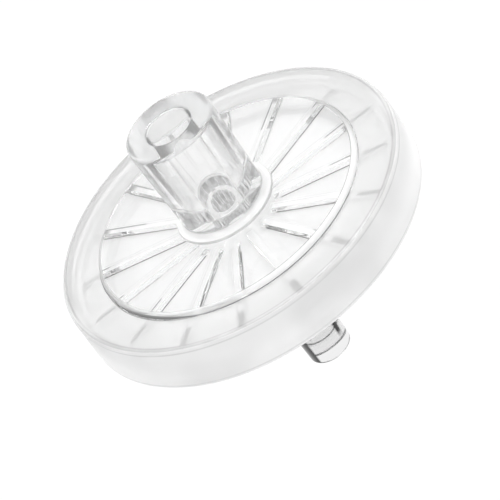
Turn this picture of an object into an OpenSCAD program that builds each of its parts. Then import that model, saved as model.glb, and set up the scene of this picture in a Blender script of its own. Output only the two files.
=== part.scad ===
// Disc filter that pushes onto a syringe: two clear moulded halves clamp a round
// membrane, and a frosted ring moulded round their edges holds them together.
// The axis is Z. The inlet is at the top, with its mouth at the origin, and the
// outlet tip points down. All sizes are in millimetres.

/* [Rim] */
// Outside diameter of the ring
rim_d = 33; // [31:0.5:36]
// Radial thickness of the ring's wall outside the housings
rim_wall = 0.8; // [0.5:0.1:1.2]
// Thickness of the ring's lip over the inlet housing
rim_top_lip = 0.7; // [0.5:0.1:1.2]
// Thickness of the ring's lip under the outlet housing
rim_bottom_lip = 0.9; // [0.6:0.1:2]
// Radius of the ring's outer edges
rim_round = 0.4; // [0.1:0.05:0.45]

/* [Inlet housing] */
// Diameter of the clear disc that shows inside the ring
window_d = 25.4; // [22:0.1:27]
// Height that the clear disc stands above the ring
window_step = 0.5; // [0.2:0.1:1]
// Radius of the clear disc's raised edge
window_round = 0.45; // [0.1:0.05:0.5]
// Thickness of the flange under the ring's lip
inlet_flange_t = 1; // [0.6:0.1:1.4]
// Height of the hub above the clear disc
hub_h = 10; // [9.5:0.5:14]
// Outside diameter of the hub's mouth
hub_mouth_d = 8.4; // [7:0.1:9]
// Outside diameter of the hub just above its foot
hub_base_d = 7.9; // [7:0.1:9]
// Radius of the hollow curve where the hub spreads into its foot
hub_foot_round = 0.6; // [0.3:0.1:1]
// Height of the foot's upright edge
hub_foot_h = 0.25; // [0.1:0.05:0.5]
// Radius of the mouth's outer edge
hub_lip_round = 0.3; // [0.1:0.05:0.5]
// Diameter of the passage below the socket
inlet_passage_d = 2.2; // [1.2:0.1:3]

/* [Luer cones] */
// Diameter of the inlet socket at its mouth
socket_mouth_d = 4.3; // [4.27:0.005:4.315]
// Depth of the inlet socket
socket_depth = 9.4; // [7.5:0.1:9.5]
// Width of the lead-in at the socket's mouth
socket_lead_in = 0.25; // [0.1:0.05:0.4]
// Diameter of the outlet tip at its end
tip_end_d = 3.99; // [3.925:0.005:3.99]
// Length of the outlet tip's cone
tip_len = 9; // [7.5:0.5:11]
// Radius of the outlet tip's outer end edge
tip_round = 0.25; // [0.1:0.05:0.3]
// Cone taper, as diameter lost per length
luer_taper = 0.06; // [0.055:0.005:0.065]

/* [Ribs] */
// Number of radial ribs on each housing
rib_count = 16; // [8:1:24]
// Width of a rib
rib_w = 0.75; // [0.5:0.05:1]
// Distance from the axis to the inner end of each rib
rib_start_r = 3.9; // [3:0.1:6]
// Height of the ribs, and of the flow channels between them
channel_h = 0.5; // [0.3:0.1:1]
// Width of the ring that clamps the membrane, outside the channels
seal_w = 0.7; // [0.5:0.1:1]
// Number of ring-shaped ribs that hold the membrane up from below
support_ring_count = 4; // [1:1:5]
// Width of a ring-shaped rib
support_ring_w = 0.5; // [0.3:0.1:1]

/* [Membrane] */
// Thickness of the membrane
membrane_t = 0.2; // [0.1:0.05:0.4]
// Distance from the membrane's edge to the housings' edge
membrane_inset = 0.2; // [0.1:0.05:0.4]

/* [Outlet housing] */
// Diameter of the disc that shows inside the ring from below
pad_d = 25.4; // [22:0.1:27]
// Height of that disc below its flange
pad_step = 0.4; // [0.2:0.1:1]
// Thickness of the flange over the ring's lip
outlet_flange_t = 0.9; // [0.6:0.1:1.6]
// Length of the tapered boss between the disc and the outlet tip
boss_len = 5.1; // [3:0.1:8]
// Diameter of the boss at the disc
boss_base_d = 8.8; // [7:0.1:11]
// Diameter of the boss at the outlet tip
boss_end_d = 6; // [5:0.1:7]
// Diameter of the outlet passage
outlet_passage_d = 2; // [1.2:0.1:2.6]
// Diameter of the wider bore at the tip's end
tip_bore_d = 2.8; // [2.7:0.1:3]
// Depth of the wider bore at the tip's end
tip_bore_depth = 2.3; // [1:0.1:4]
// Diameter of the funnel that gathers the filtered liquid
funnel_d = 5.2; // [3.5:0.1:6]
// Depth of the funnel, which ends inside the plate
funnel_h = 1; // [0.6:0.1:1.2]

/* [Fit] */
// Bond line left between pieces that are welded or moulded together
bond_gap = 0.02; // [0.01:0.01:0.05]

/* [Hidden] */
$fn = 96;

clear_plastic = [0.93, 0.96, 0.97, 0.45];
frosted_plastic = [0.9, 0.91, 0.92, 0.8];
membrane_white = [0.97, 0.97, 0.95];

// How far a cut runs past a face, and how far a rib roots into what carries it
cut_over = 1;
root = 0.2;

// Radii that several pieces share
rim_r = rim_d / 2;
flange_r = rim_r - rim_wall - bond_gap;
chamber_r = flange_r - seal_w;
window_r = window_d / 2;
pad_r = pad_d / 2;

// Levels from the hub's mouth down to the outlet's end
mouth_z = 0;
window_z = mouth_z - hub_h;
rim_top_z = window_z - window_step;
inlet_flange_z = rim_top_z - rim_top_lip - bond_gap;
inlet_roof_z = inlet_flange_z - inlet_flange_t;
inlet_seal_z = inlet_roof_z - channel_h;
membrane_z = inlet_seal_z - bond_gap;
outlet_seal_z = membrane_z - membrane_t - bond_gap;
outlet_floor_z = outlet_seal_z - channel_h;
outlet_flange_z = outlet_floor_z - outlet_flange_t;
rim_bottom_z = outlet_flange_z - bond_gap - rim_bottom_lip;
pad_z = outlet_flange_z - pad_step;
shoulder_z = pad_z - boss_len;
tip_z = shoulder_z - tip_len;
socket_floor_z = mouth_z - socket_depth;

// Radii along the two cones
hub_foot_r = hub_base_d / 2 + hub_foot_round;
socket_floor_r = (socket_mouth_d - luer_taper * socket_depth) / 2;
tip_root_r = (tip_end_d + luer_taper * tip_len) / 2;

// Half section of a disc between two levels
module slab(r, low, high) {
    translate([0, low]) square([r, high - low]);
}

// What rounding one outer edge takes away, as a section. The edge is at [r, z],
// and the material lies below it, or above it when up is true
module edge_waste(r, z, round, up = false) {
    translate([r, z]) mirror([0, up ? 1 : 0])
        translate([-round, -round]) difference() {
            square(round + cut_over);
            circle(round);
        }
}

// Ribs that lie like spokes between two levels, from rib_start_r into the seal ring
module radial_ribs(low, high) {
    for (i = [0:rib_count - 1])
        rotate(i * 360 / rib_count)
            translate([rib_start_r, -rib_w / 2, low])
                cube([chamber_r + root - rib_start_r, rib_w, high - low]);
}

// A tube between two levels
module ring(outer_r, inner_r, low, high) {
    translate([0, 0, low]) difference() {
        cylinder(h = high - low, r = outer_r);
        translate([0, 0, -cut_over]) cylinder(h = high - low + 2 * cut_over, r = inner_r);
    }
}

// Section of the hub: a slightly flared tube on a foot with a hollow curve
module hub_section() {
    foot_z = window_z + hub_foot_h;
    difference() {
        union() {
            polygon([
                [0, window_z],
                [hub_base_d / 2, window_z],
                [hub_base_d / 2, foot_z + hub_foot_round],
                [hub_mouth_d / 2, mouth_z],
                [0, mouth_z]
            ]);
            difference() {
                slab(hub_foot_r, window_z, foot_z + hub_foot_round);
                translate([hub_foot_r, foot_z + hub_foot_round]) circle(hub_foot_round);
            }
        }
        edge_waste(hub_mouth_d / 2, mouth_z, hub_lip_round);
    }
}

// Straight hole from the socket's floor into the space over the membrane
module inlet_passage() {
    translate([0, 0, inlet_roof_z - cut_over])
        cylinder(h = socket_floor_z - inlet_roof_z + 2 * cut_over, d = inlet_passage_d);
}

// The inlet housing is one moulding, drawn as a hub and a plate that meet face to face
module inlet_hub() {
    color(clear_plastic)
        difference() {
            rotate_extrude() hub_section();
            // Tapered socket with its lead-in
            translate([0, 0, socket_floor_z])
                cylinder(h = socket_depth, r1 = socket_floor_r, r2 = socket_mouth_d / 2);
            translate([0, 0, mouth_z - socket_lead_in])
                cylinder(h = 2 * socket_lead_in, r1 = socket_mouth_d / 2 - socket_lead_in,
                         r2 = socket_mouth_d / 2 + socket_lead_in * 2);
            inlet_passage();
        }
}

module inlet_plate() {
    color(clear_plastic) {
        difference() {
            rotate_extrude() {
                difference() {
                    slab(window_r, inlet_roof_z, window_z);
                    edge_waste(window_r, window_z, window_round);
                }
                slab(flange_r, inlet_roof_z, inlet_flange_z);
            }
            inlet_passage();
        }
        ring(flange_r, chamber_r, inlet_seal_z, inlet_roof_z + root);
        radial_ribs(inlet_seal_z, inlet_roof_z + root);
    }
}

module membrane() {
    color(membrane_white)
        translate([0, 0, membrane_z - membrane_t])
            cylinder(h = membrane_t, r = flange_r - membrane_inset);
}

// Straight hole from the funnel down through the tip
module outlet_passage() {
    translate([0, 0, tip_z - cut_over])
        cylinder(h = outlet_floor_z - tip_z + 2 * cut_over, d = outlet_passage_d);
}

// The outlet housing is one moulding too, drawn as a plate and a tip with its boss
module outlet_plate() {
    color(clear_plastic) {
        difference() {
            rotate_extrude() {
                slab(flange_r, outlet_flange_z, outlet_floor_z);
                slab(pad_r, pad_z, outlet_floor_z);
            }
            // Funnel that narrows to the outlet passage
            translate([0, 0, outlet_floor_z - funnel_h])
                cylinder(h = funnel_h, d1 = outlet_passage_d, d2 = funnel_d);
            outlet_passage();
        }
        ring(flange_r, chamber_r, outlet_floor_z - root, outlet_seal_z);
        radial_ribs(outlet_floor_z - root, outlet_seal_z);
        ring_pitch = (chamber_r - rib_start_r) / (support_ring_count + 1);
        for (i = [1:support_ring_count])
            ring(rib_start_r + i * ring_pitch + support_ring_w / 2,
                 rib_start_r + i * ring_pitch - support_ring_w / 2,
                 outlet_floor_z - root, outlet_seal_z);
    }
}

module outlet_tip() {
    color(clear_plastic)
        difference() {
            rotate_extrude() difference() {
                polygon([
                    [0, pad_z],
                    [boss_base_d / 2, pad_z],
                    [boss_end_d / 2, shoulder_z],
                    [tip_root_r, shoulder_z],
                    [tip_end_d / 2, tip_z],
                    [0, tip_z]
                ]);
                edge_waste(tip_end_d / 2, tip_z, tip_round, up = true);
            }
            outlet_passage();
            // Wider bore at the tip's end
            translate([0, 0, tip_z - cut_over])
                cylinder(h = tip_bore_depth + cut_over, d = tip_bore_d);
        }
}

module rim() {
    color(frosted_plastic)
        rotate_extrude() difference() {
            slab(rim_r, rim_bottom_z, rim_top_z);
            // Groove that grips both flanges, and the openings over the two discs
            slab(rim_r - rim_wall, outlet_flange_z - bond_gap, inlet_flange_z + bond_gap);
            slab(window_r + bond_gap, inlet_flange_z, rim_top_z + cut_over);
            slab(pad_r + bond_gap, rim_bottom_z - cut_over, outlet_flange_z);
            edge_waste(rim_r, rim_top_z, rim_round);
            edge_waste(rim_r, rim_bottom_z, rim_round, up = true);
        }
}

inlet_hub();
inlet_plate();
membrane();
outlet_plate();
outlet_tip();
rim();
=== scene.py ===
import math

import bpy
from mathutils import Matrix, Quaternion, Vector


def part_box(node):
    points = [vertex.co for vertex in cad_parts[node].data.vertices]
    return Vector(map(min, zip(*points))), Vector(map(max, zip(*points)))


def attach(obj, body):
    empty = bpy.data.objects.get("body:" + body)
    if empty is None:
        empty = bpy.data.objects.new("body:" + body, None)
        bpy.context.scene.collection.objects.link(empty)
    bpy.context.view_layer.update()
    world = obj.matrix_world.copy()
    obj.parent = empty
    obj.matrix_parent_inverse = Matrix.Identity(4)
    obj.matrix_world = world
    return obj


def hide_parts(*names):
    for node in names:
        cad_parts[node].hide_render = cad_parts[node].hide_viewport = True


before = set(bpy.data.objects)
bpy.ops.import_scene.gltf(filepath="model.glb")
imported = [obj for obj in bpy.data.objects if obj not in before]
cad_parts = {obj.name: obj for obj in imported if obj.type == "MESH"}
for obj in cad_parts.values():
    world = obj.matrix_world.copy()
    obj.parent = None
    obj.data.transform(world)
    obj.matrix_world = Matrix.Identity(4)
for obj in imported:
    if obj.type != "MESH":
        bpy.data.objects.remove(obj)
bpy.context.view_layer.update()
bpy.ops.object.select_all(action="DESELECT")


# ---------------------------------------------------------------- camera
# A very long lens looks down on the disc from the side, turned so that the filter
# leans over to the left, as it does when the syringe is held at a slant.
LENS_MM = 600
SENSOR_MM = 36
CLIP_NEAR = 0.05
CLIP_FAR = 20
FRAME_WIDTH = 0.0431
LOOK_AZIMUTH = math.radians(-2.8)
LOOK_ELEVATION = math.radians(35)
LEAN = math.radians(36.5)
AIM_BELOW_MOUTH = 0.01546
AIM_LEFT = 0.00065

mouth_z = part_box("inlet_hub")[1][2]
towards_camera = Vector(
    (
        math.sin(LOOK_AZIMUTH) * math.cos(LOOK_ELEVATION),
        -math.cos(LOOK_AZIMUTH) * math.cos(LOOK_ELEVATION),
        math.sin(LOOK_ELEVATION),
    )
)
rightwards = Vector((math.cos(LOOK_AZIMUTH), math.sin(LOOK_AZIMUTH), 0))
aim = Vector((0, 0, mouth_z - AIM_BELOW_MOUTH)) - rightwards * AIM_LEFT

bpy.ops.object.camera_add(location=aim + towards_camera * FRAME_WIDTH * LENS_MM / SENSOR_MM)
camera = bpy.context.object
camera.data.lens = LENS_MM
camera.data.sensor_width = SENSOR_MM
camera.data.clip_start = CLIP_NEAR
camera.data.clip_end = CLIP_FAR
camera.rotation_mode = "QUATERNION"
camera.rotation_quaternion = towards_camera.to_track_quat("Z", "Y") @ Quaternion((0, 0, 1), -LEAN)
bpy.context.scene.camera = camera


# ---------------------------------------------------------------- inlet housing
# The upper half of the casing, one clear moulding of acrylic. It carries the hub that
# the syringe pushes into, and spoke-like ribs under its disc spread the liquid.
WINDOW_R = 0.0127
WINDOW_ROUND = 0.00045
RIM_TOP_LIP = 0.0007
CHANNEL = 0.0005
BOND = 0.00002
SEAL_WIDTH = 0.0007
HUB_MOUTH_R = 0.0042
HUB_BASE_R = 0.00395
HUB_LIP_ROUND = 0.0003
HUB_FOOT_ROUND = 0.0006
HUB_FOOT_HEIGHT = 0.00025
FOOT_EDGE_ROUND = 0.00012
SOCKET_MOUTH_R = 0.00215
SOCKET_DEPTH = 0.0094
SOCKET_EDGE_ROUND = 0.00025
LUER_TAPER = 0.06
PASSAGE_R = 0.0011
MOULD_EDGE = 0.00006
RIB_COUNT = 16
RIB_WIDTH = 0.00075
RIB_START = 0.0039
RIB_ROOT = 0.0002
RIB_EDGE = 0.00001
BEND_STEPS = 5
TURN_STEPS = 360
MERGE_DISTANCE = 1e-7
SMOOTH_ANGLE = math.radians(30)

flange_r, _, window_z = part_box("inlet_plate")[1]
inlet_seal_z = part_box("inlet_plate")[0][2]
rim_r, _, rim_top_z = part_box("rim")[1]
inlet_flange_z = rim_top_z - RIM_TOP_LIP - BOND
inlet_roof_z = inlet_seal_z + CHANNEL
foot_z = window_z + HUB_FOOT_HEIGHT
socket_floor_z = mouth_z - SOCKET_DEPTH
chamber_r = flange_r - SEAL_WIDTH
foot_r = HUB_BASE_R + HUB_FOOT_ROUND
foot_edge_r = foot_r + FOOT_EDGE_ROUND
socket_floor_r = SOCKET_MOUTH_R - LUER_TAPER * SOCKET_DEPTH / 2


def rounded(corners, bend_steps=BEND_STEPS):
    """Points of a closed outline. Each corner is (radius, height, rounding)."""
    points = []
    for i, (radius, height, rounding) in enumerate(corners):
        here = Vector((radius, height))
        if not rounding:
            points.append(here)
            continue
        before = (Vector(corners[i - 1][:2]) - here).normalized()
        after = (Vector(corners[(i + 1) % len(corners)][:2]) - here).normalized()
        half = before.angle(after) / 2
        centre = here + (before + after).normalized() * rounding / math.sin(half)
        start = here + before * rounding / math.tan(half) - centre
        end = here + after * rounding / math.tan(half) - centre
        sweep = start.angle(end)
        for step in range(bend_steps + 1):
            share = step / bend_steps
            turn = start * math.sin((1 - share) * sweep) + end * math.sin(share * sweep)
            points.append(centre + turn / math.sin(sweep))
    return points


def turned(name, outline, steps=TURN_STEPS):
    """Spins a closed half section, given as (radius, height) points, round the axis."""
    bpy.ops.mesh.primitive_circle_add(vertices=len(outline), fill_type="NOTHING")
    piece = bpy.context.object
    piece.name = piece.data.name = name
    for vertex, (radius, height) in zip(piece.data.vertices, outline):
        vertex.co = (radius, 0, height)
    bpy.ops.object.mode_set(mode="EDIT")
    bpy.ops.mesh.select_all(action="SELECT")
    bpy.ops.mesh.spin(steps=steps, angle=math.tau, center=(0, 0, 0), axis=(0, 0, 1))
    bpy.ops.mesh.select_all(action="SELECT")
    bpy.ops.mesh.remove_doubles(threshold=MERGE_DISTANCE)
    bpy.ops.mesh.delete_loose()
    bpy.ops.mesh.select_all(action="SELECT")
    bpy.ops.mesh.normals_make_consistent(inside=False)
    bpy.ops.object.mode_set(mode="OBJECT")
    return piece


def spokes(low, high, start, end):
    """A wheel of straight ribs with softened edges, between two levels."""
    bpy.ops.mesh.primitive_cube_add(size=1, location=((start + end) / 2, 0, (low + high) / 2))
    wheel = bpy.context.object
    wheel.scale = (end - start, RIB_WIDTH, high - low)
    bpy.ops.object.transform_apply()
    bpy.ops.object.mode_set(mode="EDIT")
    bpy.ops.mesh.select_all(action="SELECT")
    bpy.ops.mesh.bevel(offset=RIB_EDGE, segments=2, affect="EDGES")
    for _ in range(RIB_COUNT - 1):
        bpy.ops.mesh.duplicate()
        bpy.ops.transform.rotate(
            value=math.tau / RIB_COUNT, orient_axis="Z", center_override=(0, 0, 0)
        )
    bpy.ops.object.mode_set(mode="OBJECT")
    return wheel


def pick(piece):
    bpy.ops.object.select_all(action="DESELECT")
    bpy.context.view_layer.objects.active = piece
    piece.select_set(True)


def fuse(piece, addition):
    """Makes the addition one with the piece, and removes what it was made from."""
    union = piece.modifiers.new("fuse", "BOOLEAN")
    union.operation = "UNION"
    union.solver = "EXACT"
    union.object = addition
    pick(piece)
    bpy.ops.object.modifier_apply(modifier=union.name)
    bpy.data.objects.remove(addition)


def smooth(piece):
    pick(piece)
    bpy.ops.object.shade_smooth_by_angle(angle=SMOOTH_ANGLE)


inlet_casing = turned(
    "inlet_casing",
    rounded(
        [
            (SOCKET_MOUTH_R, mouth_z, SOCKET_EDGE_ROUND),
            (HUB_MOUTH_R, mouth_z, HUB_LIP_ROUND),
            (HUB_BASE_R, foot_z, HUB_FOOT_ROUND),
            (foot_edge_r, foot_z, FOOT_EDGE_ROUND),
            (foot_edge_r, window_z, MOULD_EDGE),
            (WINDOW_R, window_z, WINDOW_ROUND),
            (WINDOW_R, inlet_flange_z, MOULD_EDGE),
            (flange_r, inlet_flange_z, MOULD_EDGE),
            (flange_r, inlet_seal_z, MOULD_EDGE),
            (chamber_r, inlet_seal_z, MOULD_EDGE),
            (chamber_r, inlet_roof_z, MOULD_EDGE),
            (PASSAGE_R, inlet_roof_z, SOCKET_EDGE_ROUND),
            (PASSAGE_R, socket_floor_z, SOCKET_EDGE_ROUND),
            (socket_floor_r, socket_floor_z, SOCKET_EDGE_ROUND),
        ]
    ),
)
fuse(inlet_casing, spokes(inlet_seal_z, inlet_roof_z + RIB_ROOT, RIB_START, chamber_r + RIB_ROOT))
smooth(inlet_casing)

# Colours and finish. Marks fade in and out over a few times FADE, and each pair of ENDS
# says where a mark begins and where it is full.
FADE = 0.0001
HAIR = 0.00004
CLEAR_COLOUR = (0.99, 0.99, 0.99, 1)
DEPTH_COLOUR = (0.88, 0.89, 0.89, 1)
DEPTH_DENSITY = 30.0
PLASTIC_IOR = 1.5
FLOW_SCALE = 260.0
FLOW_STRENGTH = 0.05
FLOW_HEIGHT = 0.0002
HANDLING_SCALE = 900.0
HANDLING_MATT = 0.03
SOCKET_MATT = 0.03
# Painted shade: the clear plastic darkens to black where a wall is seen edge on, in place of the dark
# edges that refraction gives.
OUTLINE_SHADE_COLOUR = (0.0, 0.0, 0.0, 1)
OUTLINE_ENDS = (0.88, 1.0)
MILK_COLOUR = (0.95, 0.95, 0.95, 1)
MILK_ROUGHNESS = 0.3
# The milk layer glows: painted light.
MILK_GLOW = 0.08
# The grey of the dark marks: the joint line by the step, and painted shade in the shadow crescent,
# the edge lines and the tip. The crescent beside the step is a painted shadow, and the joint fades on
# the side of the painted highlight.
JOINT_AND_SHADE_COLOUR = (0.26, 0.26, 0.26, 1)
JOINT_WIDTH = 0.00005
JOINT_SOFT_FROM = 0.8
CRESCENT_WIDTH = 0.0003
CRESCENT_AT = math.radians(206)
CRESCENT_ENDS = (0.89, 1.0)
FAINT_JOINT = 0.75
FAINT_JOINT_AT = math.radians(-8)
FAINT_JOINT_ENDS = (0.72, 0.9)
BAND_WIDTH = 0.00039
# Painted highlight: on one side the step is laid over with glowing milk, for the light it reflects;
# all round it gets a thinner glowing layer, painted light as well.
HIGHLIGHT_AT = math.radians(308)
HIGHLIGHT_ENDS = (0.4, 0.75)
HIGHLIGHT_MILK = 0.95
STEP_MILK_AND_GLOW = 0.45
FAR_SIDE_AT = math.radians(97)
# Painted shade: grey lines on the step's far side and along the top of the step, in place of the
# lines refraction gives there.
FAR_STEP_ENDS = (-0.6, 0.0)
FAR_STEP_SHADE = 0.7
LINE_HALF = 0.00003
TOP_LINE_SHADE = 0.7
TOP_LINE_LEAST = 0.5
# Painted highlight: glowing milk on the hub's foot, with painted shade lines at its outer edge and
# where it is seen edge on.
FOOT_HIGHLIGHT_MILK = 0.65
FOOT_LINE_SHADE = 0.4
FOOT_RIM_SHADE = 0.6
FOOT_RIM_ENDS = (0.8, 0.95)
# A little glowing milk lightens the hub: painted light.
HUB_MILK_AND_GLOW = 0.14
# Painted shade: dark grey streaks on the socket's wall where it is seen edge on, in place of the dark
# lines refraction gives there.
SHADE_STREAK_COLOUR = (0.18, 0.18, 0.18, 1)
SHADE_STREAK_ROUGHNESS = 0.4
SHADE_STREAK_SHARE = 0.85
SHADE_STREAK_ENDS = (0.5, 0.72)
SHADE_STREAK_FROM = 0.001
SHADE_STREAK_FULL = 0.006
WET_SHARE = 0.95


class Shade:
    """A socket of a material's nodes that takes part in plain Python sums."""

    def __init__(self, tree, socket=None):
        self.tree = tree
        self.socket = socket

    def add(self, kind, settings=None, inputs=None, out=0):
        node = self.tree.nodes.new(kind)
        for key, value in (settings or {}).items():
            setattr(node, key, value)
        for key, value in (inputs or {}).items():
            if isinstance(value, Shade):
                self.tree.links.new(value.socket, node.inputs[key])
            else:
                node.inputs[key].default_value = value
        return Shade(self.tree, node.outputs[out] if node.outputs else None)

    def twin(self, out):
        """Another output of the same node."""
        return Shade(self.tree, self.socket.node.outputs[out])

    def math(self, operation, first, second=0.0):
        return self.add("ShaderNodeMath", {"operation": operation}, {0: first, 1: second})

    def __add__(self, other):
        return self.math("ADD", self, other)

    def __mul__(self, other):
        return self.math("MULTIPLY", self, other)

    def __sub__(self, other):
        return self.math("SUBTRACT", self, other)

    def __rsub__(self, other):
        return self.math("SUBTRACT", other, self)

    def __truediv__(self, other):
        return self.math("DIVIDE", self, other)

    def __pow__(self, other):
        return self.math("POWER", self, other)

    def __abs__(self):
        return self.math("ABSOLUTE", self)

    __radd__ = __add__
    __rmul__ = __mul__

    def rise(self, low, high):
        """0 below low and 1 above high, with a smooth step from one to the other."""
        return self.add(
            "ShaderNodeMapRange",
            {"interpolation_type": "SMOOTHSTEP"},
            {"Value": self, "From Min": low, "From Max": high},
        )

    def fall(self, low, high):
        """1 below low and 0 above high."""
        return 1 - self.rise(low, high)


def highest(first, *others):
    for other in others:
        first = first.math("MAXIMUM", first, other)
    return first


def mixed(shade, share, first, second):
    """The second colour laid over the first by its share."""
    return shade.add("ShaderNodeMix", {"data_type": "RGBA"}, {0: share, 6: first, 7: second}, out=2)


def layered(shade, share, first, second):
    """The second surface laid over the first by its share."""
    return shade.add("ShaderNodeMixShader", inputs={0: share, 1: first, 2: second})


def coordinates(shade):
    """The place on the piece in metres: as one vector, then x, y and height."""
    place = shade.add("ShaderNodeTexCoord", out=3)
    x = shade.add("ShaderNodeSeparateXYZ", inputs={0: place})
    return place, x, x.twin(1), x.twin(2)


def far_from_axis(shade):
    """Distance from the filter's axis, in metres."""
    _, x, y, _ = coordinates(shade)
    return (x * x + y * y) ** 0.5


def on_side(shade, azimuth, ends):
    """1 on the side of the filter that faces the azimuth, and 0 round the back."""
    _, x, y, _ = coordinates(shade)
    along = x * math.cos(azimuth) + y * math.sin(azimuth)
    return (along / far_from_axis(shade)).rise(*ends)


def clouds(shade, scale, detail):
    """Noise on the piece, with so many cells to the metre."""
    place = coordinates(shade)[0]
    return shade.add("ShaderNodeTexNoise", inputs={"Vector": place, "Scale": scale, "Detail": detail})


def turned_away(shade):
    """0 where a wall faces the eye and 1 where it is seen edge on."""
    return shade.add("ShaderNodeLayerWeight", inputs={"Blend": 0.5}, out=1)


def step_joint_and_shadow(shade, from_joint, width, crescent_width):
    """1 on the dark joint line at the foot of the disc's step, which widens on one side into a
    painted shadow crescent and fades where the painted highlight is.
    """
    edge = on_side(shade, CRESCENT_AT, CRESCENT_ENDS) * crescent_width + width
    faint = on_side(shade, FAINT_JOINT_AT, FAINT_JOINT_ENDS) * FAINT_JOINT
    return from_joint.fall(edge * JOINT_SOFT_FROM, edge) * (1 - faint)


def clear_plastic(shade, colour, matt=0.0):
    """Polished clear plastic, with the ripple of its moulding and faint handling marks."""
    ripple = shade.add(
        "ShaderNodeBump",
        inputs={
            "Strength": FLOW_STRENGTH,
            "Distance": FLOW_HEIGHT,
            "Height": clouds(shade, FLOW_SCALE, 2.0),
        },
    )
    return shade.add(
        "ShaderNodeBsdfPrincipled",
        inputs={
            "Base Color": colour,
            "Roughness": clouds(shade, HANDLING_SCALE, 4.0) * HANDLING_MATT + matt,
            "IOR": PLASTIC_IOR,
            "Transmission Weight": 1.0,
            "Normal": ripple,
        },
    )


def milk_glow_and_shade(shade, body, share, dark):
    """Lays on a milk-white layer that glows with painted light, greyed where shade is painted."""
    colour = mixed(shade, dark, MILK_COLOUR, JOINT_AND_SHADE_COLOUR)
    milk = shade.add(
        "ShaderNodeBsdfPrincipled",
        inputs={
            "Base Color": colour,
            "Roughness": MILK_ROUGHNESS,
            "Emission Color": colour,
            "Emission Strength": MILK_GLOW,
        },
    )
    return layered(shade, share, body, milk)


def wetted(shade, body, share):
    """Lets rays pass straight through, as they do where liquid meets the plastic."""
    return layered(shade, share, body, shade.add("ShaderNodeBsdfTransparent"))


def open_to_lamps(shade, body, colour=(1, 1, 1, 1)):
    """Lets a lamp's light pass straight through, so that the shadow stays light."""
    lamp_ray = shade.add("ShaderNodeLightPath", out=1)
    straight = shade.add("ShaderNodeBsdfTransparent", inputs={"Color": colour})
    return layered(shade, lamp_ray, body, straight)


def depth_tint(shade):
    return shade.add(
        "ShaderNodeVolumeAbsorption", inputs={"Color": DEPTH_COLOUR, "Density": DEPTH_DENSITY}
    )


def inlet_clear(shade):
    """Clear plastic, with painted highlights, glow and shade lines on the disc's step and the hub's
    foot, and dark streaks of painted shade in the socket.
    """
    height = coordinates(shade)[3]
    reach = far_from_axis(shade)
    away = turned_away(shade)

    socket_wall = reach.fall(SOCKET_MOUTH_R + 2 * FADE, SOCKET_MOUTH_R + 3 * FADE)
    matt = socket_wall * height.rise(window_z - 10 * FADE, window_z - 5 * FADE) * SOCKET_MATT
    # The body's colour holds painted shade where a wall is seen edge on.
    body = clear_plastic(
        shade, mixed(shade, away.rise(*OUTLINE_ENDS), CLEAR_COLOUR, OUTLINE_SHADE_COLOUR), matt
    )

    band_r = WINDOW_R - BAND_WIDTH
    # Painted highlight on one side of the step, and a thinner glowing layer all round it.
    highlight_side = on_side(shade, HIGHLIGHT_AT, HIGHLIGHT_ENDS)
    on_step = reach.rise(band_r, band_r + HAIR) * height.rise(rim_top_z - FADE, rim_top_z)
    step_milk_and_highlight = on_step * (highlight_side * (HIGHLIGHT_MILK - STEP_MILK_AND_GLOW) + STEP_MILK_AND_GLOW)
    # A joint line at the step's foot, widening on one side into a painted shadow crescent.
    step_foot_shade = step_joint_and_shadow(shade, height - rim_top_z, JOINT_WIDTH, CRESCENT_WIDTH) * on_step
    # Painted shade lines on the step's far side and along its top.
    far_step_shade = on_step * on_side(shade, FAR_SIDE_AT, FAR_STEP_ENDS) * FAR_STEP_SHADE
    top_line = abs(reach - band_r).fall(LINE_HALF, LINE_HALF * 2)
    top_line = top_line * height.rise(window_z - 2 * FADE, window_z - FADE) * TOP_LINE_SHADE
    top_line = top_line * (highlight_side * (1 - TOP_LINE_LEAST) + TOP_LINE_LEAST)

    # Painted highlight on the hub's foot, and painted shade lines round it.
    above_disc = height.rise(window_z - FADE / 2, window_z + FADE / 2)
    on_foot = reach.rise(HUB_BASE_R - FADE, HUB_BASE_R + FADE)
    on_foot = on_foot * reach.fall(foot_r + FADE, foot_r + 2 * FADE)
    on_foot = on_foot * above_disc * height.fall(foot_z + 3 * FADE, foot_z + 6 * FADE)
    foot_rim_shade = on_foot * away.rise(*FOOT_RIM_ENDS) * FOOT_RIM_SHADE
    foot_shade_line = abs(reach - foot_edge_r).fall(LINE_HALF, LINE_HALF * 2)
    foot_shade_line = foot_shade_line * above_disc * FOOT_LINE_SHADE
    on_hub = reach.rise(HUB_BASE_R - FADE, HUB_BASE_R) * height.rise(foot_z, foot_z + 8 * FADE)

    dark = highest(step_foot_shade, far_step_shade, top_line, foot_rim_shade, foot_shade_line)
    milk = highest(step_milk_and_highlight, on_foot * FOOT_HIGHLIGHT_MILK, on_hub * HUB_MILK_AND_GLOW, dark)
    body = milk_glow_and_shade(shade, body, milk, dark)

    # Painted shade streaks on the socket's wall.
    shade_streak = socket_wall * height.rise(socket_floor_z + SHADE_STREAK_FROM, socket_floor_z + SHADE_STREAK_FULL)
    shade_streak = shade_streak * away.rise(*SHADE_STREAK_ENDS) * SHADE_STREAK_SHARE
    shade_streak_grey = shade.add(
        "ShaderNodeBsdfPrincipled",
        inputs={"Base Color": SHADE_STREAK_COLOUR, "Roughness": SHADE_STREAK_ROUGHNESS},
    )
    body = layered(shade, shade_streak, body, shade_streak_grey)

    in_channel = height.rise(inlet_seal_z, inlet_seal_z + HAIR)
    in_channel = in_channel * height.fall(inlet_roof_z - HAIR, inlet_roof_z)
    body = wetted(shade, body, in_channel * WET_SHARE)
    return open_to_lamps(shade, body), depth_tint(shade)


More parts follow.
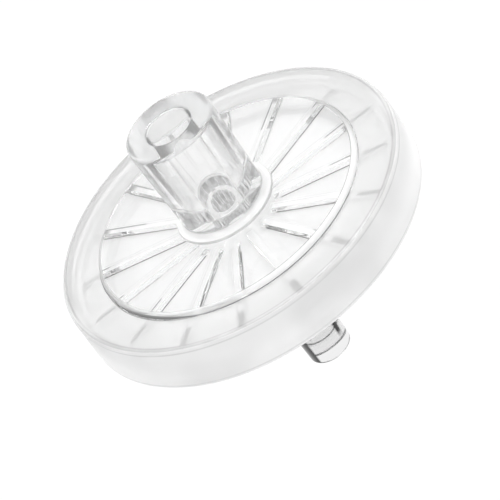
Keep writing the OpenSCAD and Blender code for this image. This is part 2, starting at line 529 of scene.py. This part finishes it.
def material_of(name, build):
    """A new material whose surface, and volume if any, come from the function build."""
    material = bpy.data.materials.new(name)
    material.use_nodes = True
    material.node_tree.nodes.clear()
    shade = Shade(material.node_tree)
    surface, volume = build(shade)
    links = {"Surface": surface} | ({"Volume": volume} if volume else {})
    shade.add("ShaderNodeOutputMaterial", inputs=links)
    return material


def dress(piece, material):
    piece.data.materials.clear()
    piece.data.materials.append(material)


dress(inlet_casing, material_of("inlet_clear", inlet_clear))
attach(inlet_casing, "root")
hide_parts("inlet_hub", "inlet_plate")


# ---------------------------------------------------------------- membrane
# The filter itself, a thin white porous sheet punched out as a disc. The two casings
# clamp it at its edge; the ribs' shadows and a glow near its far edge are painted on it.
MEMBRANE_EDGE = 0.00004

membrane_r, _, membrane_top_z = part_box("membrane")[1]
membrane_foot_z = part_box("membrane")[0][2]
membrane = turned(
    "membrane_disc",
    rounded(
        [
            (0, membrane_top_z, 0),
            (membrane_r, membrane_top_z, MEMBRANE_EDGE),
            (membrane_r, membrane_foot_z, MEMBRANE_EDGE),
            (0, membrane_foot_z, 0),
        ]
    ),
)
smooth(membrane)

MEMBRANE_COLOUR = (0.86, 0.86, 0.86, 1)
MEMBRANE_ROUGHNESS = 0.85
PORE_SCALE = 9000.0
PORE_STRENGTH = 0.2
PORE_HEIGHT = 0.00005
# Painted shadows of the ribs: dark bars under their outer ends, weaker on the far side, and a faint
# darkening under each whole rib.
MEMBRANE_SHADE_COLOUR = (0.0, 0.0, 0.0, 1)
RIB_SHADOW_FROM_R = 0.0125
RIB_SHADOW_TO_R = 0.0132
RIB_SHADOW_SOFT = 0.1
RIB_SHADOW_LESS = 0.45
RIB_SHADOW_LESS_ENDS = (0.1, 0.8)
UNDER_RIB_SHADE = 0.04
# Painted shade: thin dark lines along the ribs' sides, the front one stronger, each rib's start and
# strength given by chance.
RIB_EDGE_SHADE_WIDTH = 0.00016
RIB_EDGE_SHADE_STRENGTH = 0.95
FRONT_SHADE_EDGE = (0.35, 0.65)
FRONT_SHADE_LEAST = 0.3
FRONT_SHADE_FROM_R = 0.0044
FRONT_SHADE_SPREAD = 0.005
FRONT_SHADE_SEED = 472719.5
BACK_SHADE_EDGE = (0.3, 0.6)
BACK_SHADE_SHARE = 0.6
BACK_SHADE_FROM_R = 0.0085
BACK_SHADE_SPREAD = 0.004
BACK_SHADE_SEED = 40.25
# Painted light: the membrane glows near the far edge of the window, where the ring shades it.
FAR_EDGE_GLOW_FROM_R = 0.0116
FAR_EDGE_GLOW_TO_R = 0.0132
FAR_EDGE_GLOW_ENDS = (0.15, 0.55)
FAR_EDGE_GLOW_LEVEL = 0.17


def rib_edge_shade(shade, from_side, edge, start, fade):
    """1 on the thin line of painted shade along a side of a rib, from a radius outwards."""
    line = abs(from_side).fall(RIB_EDGE_SHADE_WIDTH * edge[0], RIB_EDGE_SHADE_WIDTH * edge[1])
    return line * far_from_axis(shade).rise(start, start + fade)


def rib_chance(shade, rib, seed):
    """A chance number from 0 to 1 for each rib."""
    return shade.add("ShaderNodeTexWhiteNoise", {"noise_dimensions": "1D"}, {"W": rib + seed})


def membrane_white(shade):
    """White sheet, with the ribs' shadows painted as bars and as lines along their sides, and a
    painted glow near the far edge.
    """
    _, x, y, _ = coordinates(shade)
    reach = far_from_axis(shade)
    turns = shade.math("ARCTAN2", y, x) * (RIB_COUNT / math.tau)
    rib = shade.math("ROUND", turns)
    from_rib = (turns - rib) * (math.tau / RIB_COUNT) * reach
    # The ribs' shadows are painted on as dark bars.
    under_rib = abs(from_rib).fall(RIB_WIDTH * (0.5 - RIB_SHADOW_SOFT), RIB_WIDTH * (0.5 + RIB_SHADOW_SOFT))
    less = (y / reach).rise(*RIB_SHADOW_LESS_ENDS) * RIB_SHADOW_LESS
    rib_shadow = under_rib * reach.rise(RIB_SHADOW_FROM_R, RIB_SHADOW_TO_R) * (1 - less)
    rib_shadow = highest(rib_shadow, under_rib * UNDER_RIB_SHADE) * reach.fall(chamber_r - FADE, chamber_r)

    # Painted shade lines along the ribs' sides.
    to_back = from_rib * shade.math("SIGN", x)
    front_chance = rib_chance(shade, rib, FRONT_SHADE_SEED)
    front_start = (1 - front_chance) ** 2 * FRONT_SHADE_SPREAD + FRONT_SHADE_FROM_R
    front = rib_edge_shade(shade, to_back + RIB_WIDTH / 2, FRONT_SHADE_EDGE, front_start, 2 * FADE)
    front = front * (front_chance * (1 - FRONT_SHADE_LEAST) + FRONT_SHADE_LEAST)
    back_start = rib_chance(shade, rib, BACK_SHADE_SEED) * BACK_SHADE_SPREAD + BACK_SHADE_FROM_R
    back = rib_edge_shade(shade, to_back - RIB_WIDTH / 2, BACK_SHADE_EDGE, back_start, 4 * FADE)
    rib_edge_shades = highest(front, back * BACK_SHADE_SHARE) * RIB_EDGE_SHADE_STRENGTH
    rib_edge_shades = rib_edge_shades * reach.fall(RIB_SHADOW_TO_R, RIB_SHADOW_TO_R + 5 * FADE)

    dark = highest(rib_shadow, rib_edge_shades)
    # Painted light near the far edge.
    far_edge_glow = reach.rise(FAR_EDGE_GLOW_FROM_R, FAR_EDGE_GLOW_TO_R) * on_side(shade, FAR_SIDE_AT, FAR_EDGE_GLOW_ENDS)
    pores = shade.add(
        "ShaderNodeBump",
        inputs={
            "Strength": PORE_STRENGTH,
            "Distance": PORE_HEIGHT,
            "Height": clouds(shade, PORE_SCALE, 3.0),
        },
    )
    surface = shade.add(
        "ShaderNodeBsdfPrincipled",
        inputs={
            "Base Color": mixed(shade, dark, MEMBRANE_COLOUR, MEMBRANE_SHADE_COLOUR),
            "Roughness": MEMBRANE_ROUGHNESS,
            "Normal": pores,
            "Emission Color": far_edge_glow * (1 - dark),
            "Emission Strength": FAR_EDGE_GLOW_LEVEL,
        },
    )
    return surface, None


dress(membrane, material_of("membrane_white", membrane_white))
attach(membrane, "root")
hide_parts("membrane")


# ---------------------------------------------------------------- outlet housing
# The lower half of the casing, moulded from the same clear acrylic. Spokes and rings hold
# the membrane up, and a funnel and passage lead down through the boss and the slip tip.
RIM_BOTTOM_LIP = 0.0009
PAD_R = 0.0127
BOSS_END_R = 0.003
TIP_LENGTH = 0.009
TIP_END_R = 0.001995
TIP_ROUND = 0.00025
TIP_BORE_R = 0.0014
TIP_BORE_DEPTH = 0.0023
FUNNEL_R = 0.0026
FUNNEL_DEPTH = 0.001
OUTLET_PASSAGE_R = 0.001
HOLD_UP_RINGS = 4
HOLD_UP_WIDTH = 0.0005
HOLD_UP_LOWER = 0.00001
HOLD_UP_BEND_STEPS = 2
HOLD_UP_STEPS = 120

outlet_seal_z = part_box("outlet_plate")[1][2]
outlet_floor_z = outlet_seal_z - CHANNEL
rim_bottom_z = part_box("rim")[0][2]
outlet_flange_z = rim_bottom_z + RIM_BOTTOM_LIP + BOND
boss_base_r, _, pad_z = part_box("outlet_tip")[1]
tip_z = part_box("outlet_tip")[0][2]
shoulder_z = tip_z + TIP_LENGTH
bore_top_z = tip_z + TIP_BORE_DEPTH
tip_root_r = TIP_END_R + LUER_TAPER * TIP_LENGTH / 2

outlet_casing = turned(
    "outlet_casing",
    rounded(
        [
            (FUNNEL_R, outlet_floor_z, MOULD_EDGE),
            (chamber_r, outlet_floor_z, MOULD_EDGE),
            (chamber_r, outlet_seal_z, MOULD_EDGE),
            (flange_r, outlet_seal_z, MOULD_EDGE),
            (flange_r, outlet_flange_z, MOULD_EDGE),
            (PAD_R, outlet_flange_z, MOULD_EDGE),
            (PAD_R, pad_z, MOULD_EDGE),
            (boss_base_r, pad_z, HUB_FOOT_ROUND),
            (BOSS_END_R, shoulder_z, TIP_ROUND),
            (tip_root_r, shoulder_z, MOULD_EDGE),
            (TIP_END_R, tip_z, TIP_ROUND),
            (TIP_BORE_R, tip_z, MOULD_EDGE),
            (TIP_BORE_R, bore_top_z, MOULD_EDGE),
            (OUTLET_PASSAGE_R, bore_top_z, MOULD_EDGE),
            (OUTLET_PASSAGE_R, outlet_floor_z - FUNNEL_DEPTH, MOULD_EDGE),
        ]
    ),
)
fuse(
    outlet_casing,
    spokes(outlet_floor_z - RIB_ROOT, outlet_seal_z, RIB_START, chamber_r + RIB_ROOT),
)
# The rings are a hair lower than the spokes, so that no two faces share a plane.
hold_up_pitch = (chamber_r - RIB_START) / (HOLD_UP_RINGS + 1)
for i in range(HOLD_UP_RINGS):
    middle_r = RIB_START + (i + 1) * hold_up_pitch
    ring = rounded(
        [
            (middle_r - HOLD_UP_WIDTH / 2, outlet_seal_z - HOLD_UP_LOWER, RIB_EDGE),
            (middle_r + HOLD_UP_WIDTH / 2, outlet_seal_z - HOLD_UP_LOWER, RIB_EDGE),
            (middle_r + HOLD_UP_WIDTH / 2, outlet_floor_z - RIB_ROOT, RIB_EDGE),
            (middle_r - HOLD_UP_WIDTH / 2, outlet_floor_z - RIB_ROOT, RIB_EDGE),
        ],
        HOLD_UP_BEND_STEPS,
    )
    fuse(outlet_casing, turned("hold_up_ring", ring, HOLD_UP_STEPS))
smooth(outlet_casing)

# Painted shade: the slip tip's solid wall is grey, less so below the bore, and dark lines run down
# its sides where it is seen edge on, as refraction would show. Its end face gets glowing milk, greyed
# a little: painted light and shade.
TIP_SHADE_COLOUR = (0.66, 0.66, 0.66, 1)
TIP_SKIN_R = 0.0017
TIP_BELOW_BORE = 0.7
TIP_LEFT_ENDS = (0.47, 0.55)
TIP_RIGHT_ENDS = (0.37, 0.43)
TIP_RIGHT_GONE = (0.52, 0.6)
TIP_FACE_MILK_AND_GLOW = 0.7
TIP_FACE_SHADE = 0.15
TIP_FACE_FROM = 0.00003
TIP_FACE_FULL = 0.00001


def outlet_clear(shade):
    """Clear plastic, with painted shade in the slip tip's wall and along its sides, a glowing greyed
    end face and a wet bore.
    """
    _, x, _, height = coordinates(shade)
    reach = far_from_axis(shade)
    away = turned_away(shade)

    # Painted shade on the slip tip: dark side lines and a grey wall.
    on_tip = height.fall(shoulder_z - 6 * FADE, shoulder_z)
    right_side = x.rise(-2 * FADE, 2 * FADE)
    left_line = away.rise(*TIP_LEFT_ENDS) * (1 - right_side)
    right_line = away.rise(*TIP_RIGHT_ENDS) * away.fall(*TIP_RIGHT_GONE) * right_side
    right_line = right_line * height.rise(bore_top_z - 12 * FADE, bore_top_z - 2 * FADE)
    outline = away.rise(*OUTLINE_ENDS) * (1 - on_tip) + (left_line + right_line) * on_tip
    above_bore = height.rise(bore_top_z - FADE / 2, bore_top_z + FADE / 2)
    grey = on_tip * reach.rise(TIP_SKIN_R - FADE, TIP_SKIN_R)
    grey = grey * (above_bore * (1 - TIP_BELOW_BORE) + TIP_BELOW_BORE)
    colour = mixed(shade, grey, CLEAR_COLOUR, TIP_SHADE_COLOUR)
    body = clear_plastic(shade, mixed(shade, outline, colour, OUTLINE_SHADE_COLOUR))

    end_face = height.fall(tip_z + TIP_FACE_FULL, tip_z + TIP_FACE_FROM)
    body = milk_glow_and_shade(shade, body, end_face * TIP_FACE_MILK_AND_GLOW, end_face * TIP_FACE_SHADE)

    bore_wall = on_tip * reach.rise(TIP_BORE_R - MOULD_EDGE, TIP_BORE_R - MOULD_EDGE / 2)
    bore_wall = bore_wall * reach.fall(TIP_BORE_R + MOULD_EDGE / 2, TIP_BORE_R + MOULD_EDGE)
    bore_wall = bore_wall * height.fall(bore_top_z - 2 * FADE, bore_top_z - FADE)
    bore_wall = bore_wall * height.rise(tip_z + FADE / 2, tip_z + FADE)
    return open_to_lamps(shade, wetted(shade, body, bore_wall)), depth_tint(shade)


dress(outlet_casing, material_of("outlet_clear", outlet_clear))
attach(outlet_casing, "root")
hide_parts("outlet_plate", "outlet_tip")


# ---------------------------------------------------------------- rim
# A ring of frosted, translucent plastic, moulded round both casings' flanges to lock
# them together. The ribs' shadows painted on the membrane show through it as soft bars.
RIM_ROUND = 0.0004
RIM_INNER_ROUND = 0.00012

frosted_rim = turned(
    "frosted_rim",
    rounded(
        [
            (WINDOW_R + BOND, rim_top_z, RIM_INNER_ROUND),
            (rim_r, rim_top_z, RIM_ROUND),
            (rim_r, rim_bottom_z, RIM_ROUND),
            (PAD_R + BOND, rim_bottom_z, RIM_INNER_ROUND),
            (PAD_R + BOND, outlet_flange_z - BOND, MOULD_EDGE),
            (flange_r + BOND, outlet_flange_z - BOND, MOULD_EDGE),
            (flange_r + BOND, inlet_flange_z + BOND, MOULD_EDGE),
            (WINDOW_R + BOND, inlet_flange_z + BOND, MOULD_EDGE),
        ]
    ),
)
smooth(frosted_rim)

FROSTED_COLOUR = (0.97, 0.97, 0.97, 1)
FROSTED_ROUGHNESS = 0.24
FROSTED_TRANSMISSION = 0.8
FROST_SCALE = 180.0
FROST_SPREAD = 0.04
SKIN_DEPTH = 0.0003
# Painted shade: the joint line by the window widens into a painted shadow crescent on the ring's top.
RIM_JOINT_WIDTH = 0.00009
RIM_CRESCENT_WIDTH = 0.00014
RIM_JOINT_SHADE = 0.7
# Painted shade: grey lines along the ring's rounded outer edges, in place of the lines refraction
# gives.
EDGE_LINE = 0.00008
EDGE_LINE_ENDS = (0.5, 1.5)
EDGE_LINE_SHADE = 0.26
EDGE_LINE_AT = 1.1
WALL_MILK = 0.75
WALL_ROUGHNESS = 0.35
TOP_MILK = 0.25
PATCH_SCALE = 130.0
PATCH_ENDS = (0.45, 0.7)
PATCH_SHARE = 0.5
PATCH_COLOUR = (0.72, 0.72, 0.72, 1)
# Painted light: the ring's wall glows towards its foot, more on one side.
LOW_WALL_FULL = 0.001
LOW_WALL_TOP = 0.004
LOW_WALL_AT = math.radians(-5)
LOW_WALL_ENDS = (0.55, 0.9)
LOW_WALL_LEAST = 0.5
LOW_WALL_GLOW = 0.2
RIM_SHADOW_COLOUR = (0.8, 0.8, 0.8, 1)


def frosted_plastic(shade):
    """Frosted outside, clear where it meets the casings, with milk in its wall, painted shade lines
    at its edges and by the step, and a painted glow low on its wall.
    """
    height = coordinates(shade)[3]
    reach = far_from_axis(shade)
    top_skin = height.rise(rim_top_z - SKIN_DEPTH - FADE / 2, rim_top_z - SKIN_DEPTH)
    foot_skin = height.fall(rim_bottom_z + SKIN_DEPTH, rim_bottom_z + SKIN_DEPTH + FADE / 2)
    wall_skin = reach.rise(rim_r - 2 * FADE, rim_r - FADE)
    frost = clouds(shade, FROST_SCALE, 2.0) * FROST_SPREAD + FROSTED_ROUGHNESS

    # Painted shade lines along the rounded edges.
    bend = RIM_ROUND * EDGE_LINE_AT
    top_line = abs(reach - (rim_r - bend)) + (rim_top_z - height)
    side_line = abs(height - (rim_top_z - bend)) + (rim_r - reach)
    low_line = abs(height - (rim_bottom_z + bend)) + (rim_r - reach)
    line = shade.math("MINIMUM", shade.math("MINIMUM", top_line, side_line), low_line)
    line = line.fall(EDGE_LINE * EDGE_LINE_ENDS[0], EDGE_LINE * EDGE_LINE_ENDS[1])
    # The joint line by the window, widening into the painted shadow crescent.
    joint = step_joint_and_shadow(shade, reach - WINDOW_R, RIM_JOINT_WIDTH, RIM_CRESCENT_WIDTH) * top_skin
    dark = highest(joint * RIM_JOINT_SHADE, line * EDGE_LINE_SHADE)
    colour = mixed(shade, dark, FROSTED_COLOUR, JOINT_AND_SHADE_COLOUR)
    body = shade.add(
        "ShaderNodeBsdfPrincipled",
        inputs={
            "Base Color": colour,
            "Roughness": highest(top_skin, foot_skin, wall_skin) * frost,
            "IOR": PLASTIC_IOR,
            "Transmission Weight": FROSTED_TRANSMISSION,
        },
    )

    patches = clouds(shade, PATCH_SCALE, 1.0).rise(*PATCH_ENDS) * wall_skin * PATCH_SHARE
    # Painted light low on the wall.
    low_wall_glow = height.fall(rim_bottom_z + LOW_WALL_FULL, rim_bottom_z + LOW_WALL_TOP) * wall_skin
    near_side = on_side(shade, LOW_WALL_AT, LOW_WALL_ENDS)
    low_wall_glow = low_wall_glow * (near_side * (1 - LOW_WALL_LEAST) + LOW_WALL_LEAST)
    milk = shade.add(
        "ShaderNodeBsdfPrincipled",
        inputs={
            "Base Color": mixed(shade, patches, colour, PATCH_COLOUR),
            "Roughness": WALL_ROUGHNESS,
            "Emission Color": low_wall_glow,
            "Emission Strength": LOW_WALL_GLOW,
        },
    )
    milk_share = wall_skin * WALL_MILK + top_skin * (1 - wall_skin) * TOP_MILK
    return open_to_lamps(shade, layered(shade, milk_share, body, milk), RIM_SHADOW_COLOUR), None


dress(frosted_rim, material_of("frosted_plastic", frosted_plastic))
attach(frosted_rim, "root")
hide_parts("rim")


# ---------------------------------------------------------------- stage
# A white bench top some way below the filter, which is held in the air by its hub, and a
# white studio. Two soft grey cards low at the sides show only in the gloss and the clear.
FLOOR_SIZE = 6
FLOOR_BELOW = 0.12
FLOOR_COLOUR = (0.95, 0.95, 0.95, 1)
FLOOR_GLOW = 1.06
FLOOR_GLOW_SHARE = 0.75
SKY_LEVEL = 0.9
CARD_SIDE = (0.55, 0.75)
CARD_TOP = -0.42
CARD_BOTTOM = -0.72
CARD_SOFT = 0.1
CARD_LEVEL = 0.7
KEY_PLACE = (0.167, 0.087, 0.353)
KEY_SIZE = 0.1
KEY_WATTS = 0.35
WHITE = (1, 1, 1, 1)


def seen_through_glass(shade):
    """1 for what the camera sees in gloss or through clear plastic."""
    path = shade.add("ShaderNodeLightPath")
    return highest(path.twin(3), path.twin(6))


def floor_white(shade):
    paint = shade.add("ShaderNodeBsdfDiffuse", inputs={"Color": FLOOR_COLOUR})
    glow = shade.add("ShaderNodeEmission", inputs={"Color": WHITE, "Strength": FLOOR_GLOW})
    seen = shade.add("ShaderNodeLightPath") * FLOOR_GLOW_SHARE
    shown = layered(shade, seen, paint, glow)
    away = shade.add("ShaderNodeBsdfTransparent")
    return layered(shade, seen_through_glass(shade), shown, away), None


bpy.ops.mesh.primitive_plane_add(size=FLOOR_SIZE, location=(0, 0, tip_z - FLOOR_BELOW))
floor = bpy.context.object
floor.name = "floor"
dress(floor, material_of("floor_white", floor_white))

world = bpy.data.worlds.new("studio")
bpy.context.scene.world = world
world.use_nodes = True
world.node_tree.nodes.clear()
shade = Shade(world.node_tree)
ray = shade.add("ShaderNodeTexCoord")
height = shade.add("ShaderNodeSeparateXYZ", inputs={0: ray}, out=2)
sideways = shade.add(
    "ShaderNodeVectorMath", {"operation": "DOT_PRODUCT"}, {0: ray, 1: tuple(rightwards)}, out=1
)
card = abs(sideways).rise(*CARD_SIDE) * height.fall(CARD_TOP - CARD_SOFT, CARD_TOP)
card = card * height.rise(CARD_BOTTOM, CARD_BOTTOM + CARD_SOFT)
level = 1 - card * (1 - CARD_LEVEL)
sky = shade.add("ShaderNodeBackground", inputs={"Color": WHITE, "Strength": SKY_LEVEL})
studio = shade.add("ShaderNodeBackground", inputs={"Color": level, "Strength": 1.0})
backdrop = shade.add("ShaderNodeBackground", inputs={"Color": WHITE, "Strength": 1.0})
lit = layered(shade, seen_through_glass(shade), sky, studio)
seen = layered(shade, shade.add("ShaderNodeLightPath"), lit, backdrop)
shade.add("ShaderNodeOutputWorld", inputs={"Surface": seen})

# One small soft lamp above and behind, aimed at the hub's mouth.
bpy.ops.object.light_add(type="AREA", location=KEY_PLACE)
key = bpy.context.object
key.data.size = KEY_SIZE
key.data.energy = KEY_WATTS
key.rotation_mode = "QUATERNION"
key.rotation_quaternion = key.location.to_track_quat("Z", "Y")

# Light crosses many clear walls on its way, so it is followed for many bounces.
scene = bpy.context.scene
scene.view_settings.view_transform = "Standard"
scene.cycles.max_bounces = 24
scene.cycles.transmission_bounces = 20
scene.cycles.glossy_bounces = 8
scene.cycles.diffuse_bounces = 8
scene.cycles.transparent_max_bounces = 24
